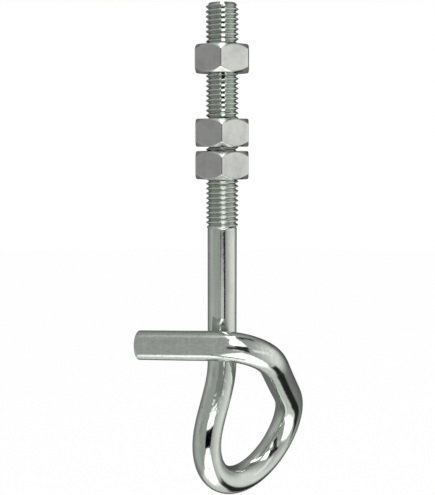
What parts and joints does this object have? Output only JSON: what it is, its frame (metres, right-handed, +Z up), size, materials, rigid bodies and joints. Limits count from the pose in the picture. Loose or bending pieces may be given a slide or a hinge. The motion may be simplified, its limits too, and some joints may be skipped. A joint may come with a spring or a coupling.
{
  "type": "pigtail swing hook",
  "caption": "Bent steel rod with a threaded stem, clamp nuts and a pigtail loop that carries a swing's chain or rope below a beam or bracket.",
  "frame": {"origin": "on the stem's axis, at the top face of the middle nut, where the beam rests", "axes": "+Z up along the threaded stem, +X to the side on which the loop lies, +Y away from the tail that crosses in front of the stem"},
  "size_m": [0.0628, 0.0543, 0.1834],
  "materials": {
    "rod_zinc": "bright blue zinc plate",
    "nut_zinc": "satin zinc plate"
  },
  "bodies": {
    "rod": {"hook_rod": "rod_zinc"},
    "upper_clamp_nut": {"top_nut": "nut_zinc"},
    "lower_clamp_nut": {"middle_nut": "nut_zinc"},
    "lock_nut": {"lower_nut": "nut_zinc"}
  },
  "joints": [
    {"name": "top_nut_travel", "type": "slide", "parent": "rod", "child": "upper_clamp_nut", "axis": [0, 0, 1], "range_m": [-0.007, 0.014]},
    {"name": "middle_nut_travel", "type": "slide", "parent": "rod", "child": "lower_clamp_nut", "axis": [0, 0, 1], "range_m": [0, 0.00875]},
    {"name": "lower_nut_travel", "type": "slide", "parent": "rod", "child": "lock_nut", "axis": [0, 0, 1], "range_m": [-0.01575, 0]}
  ]
}
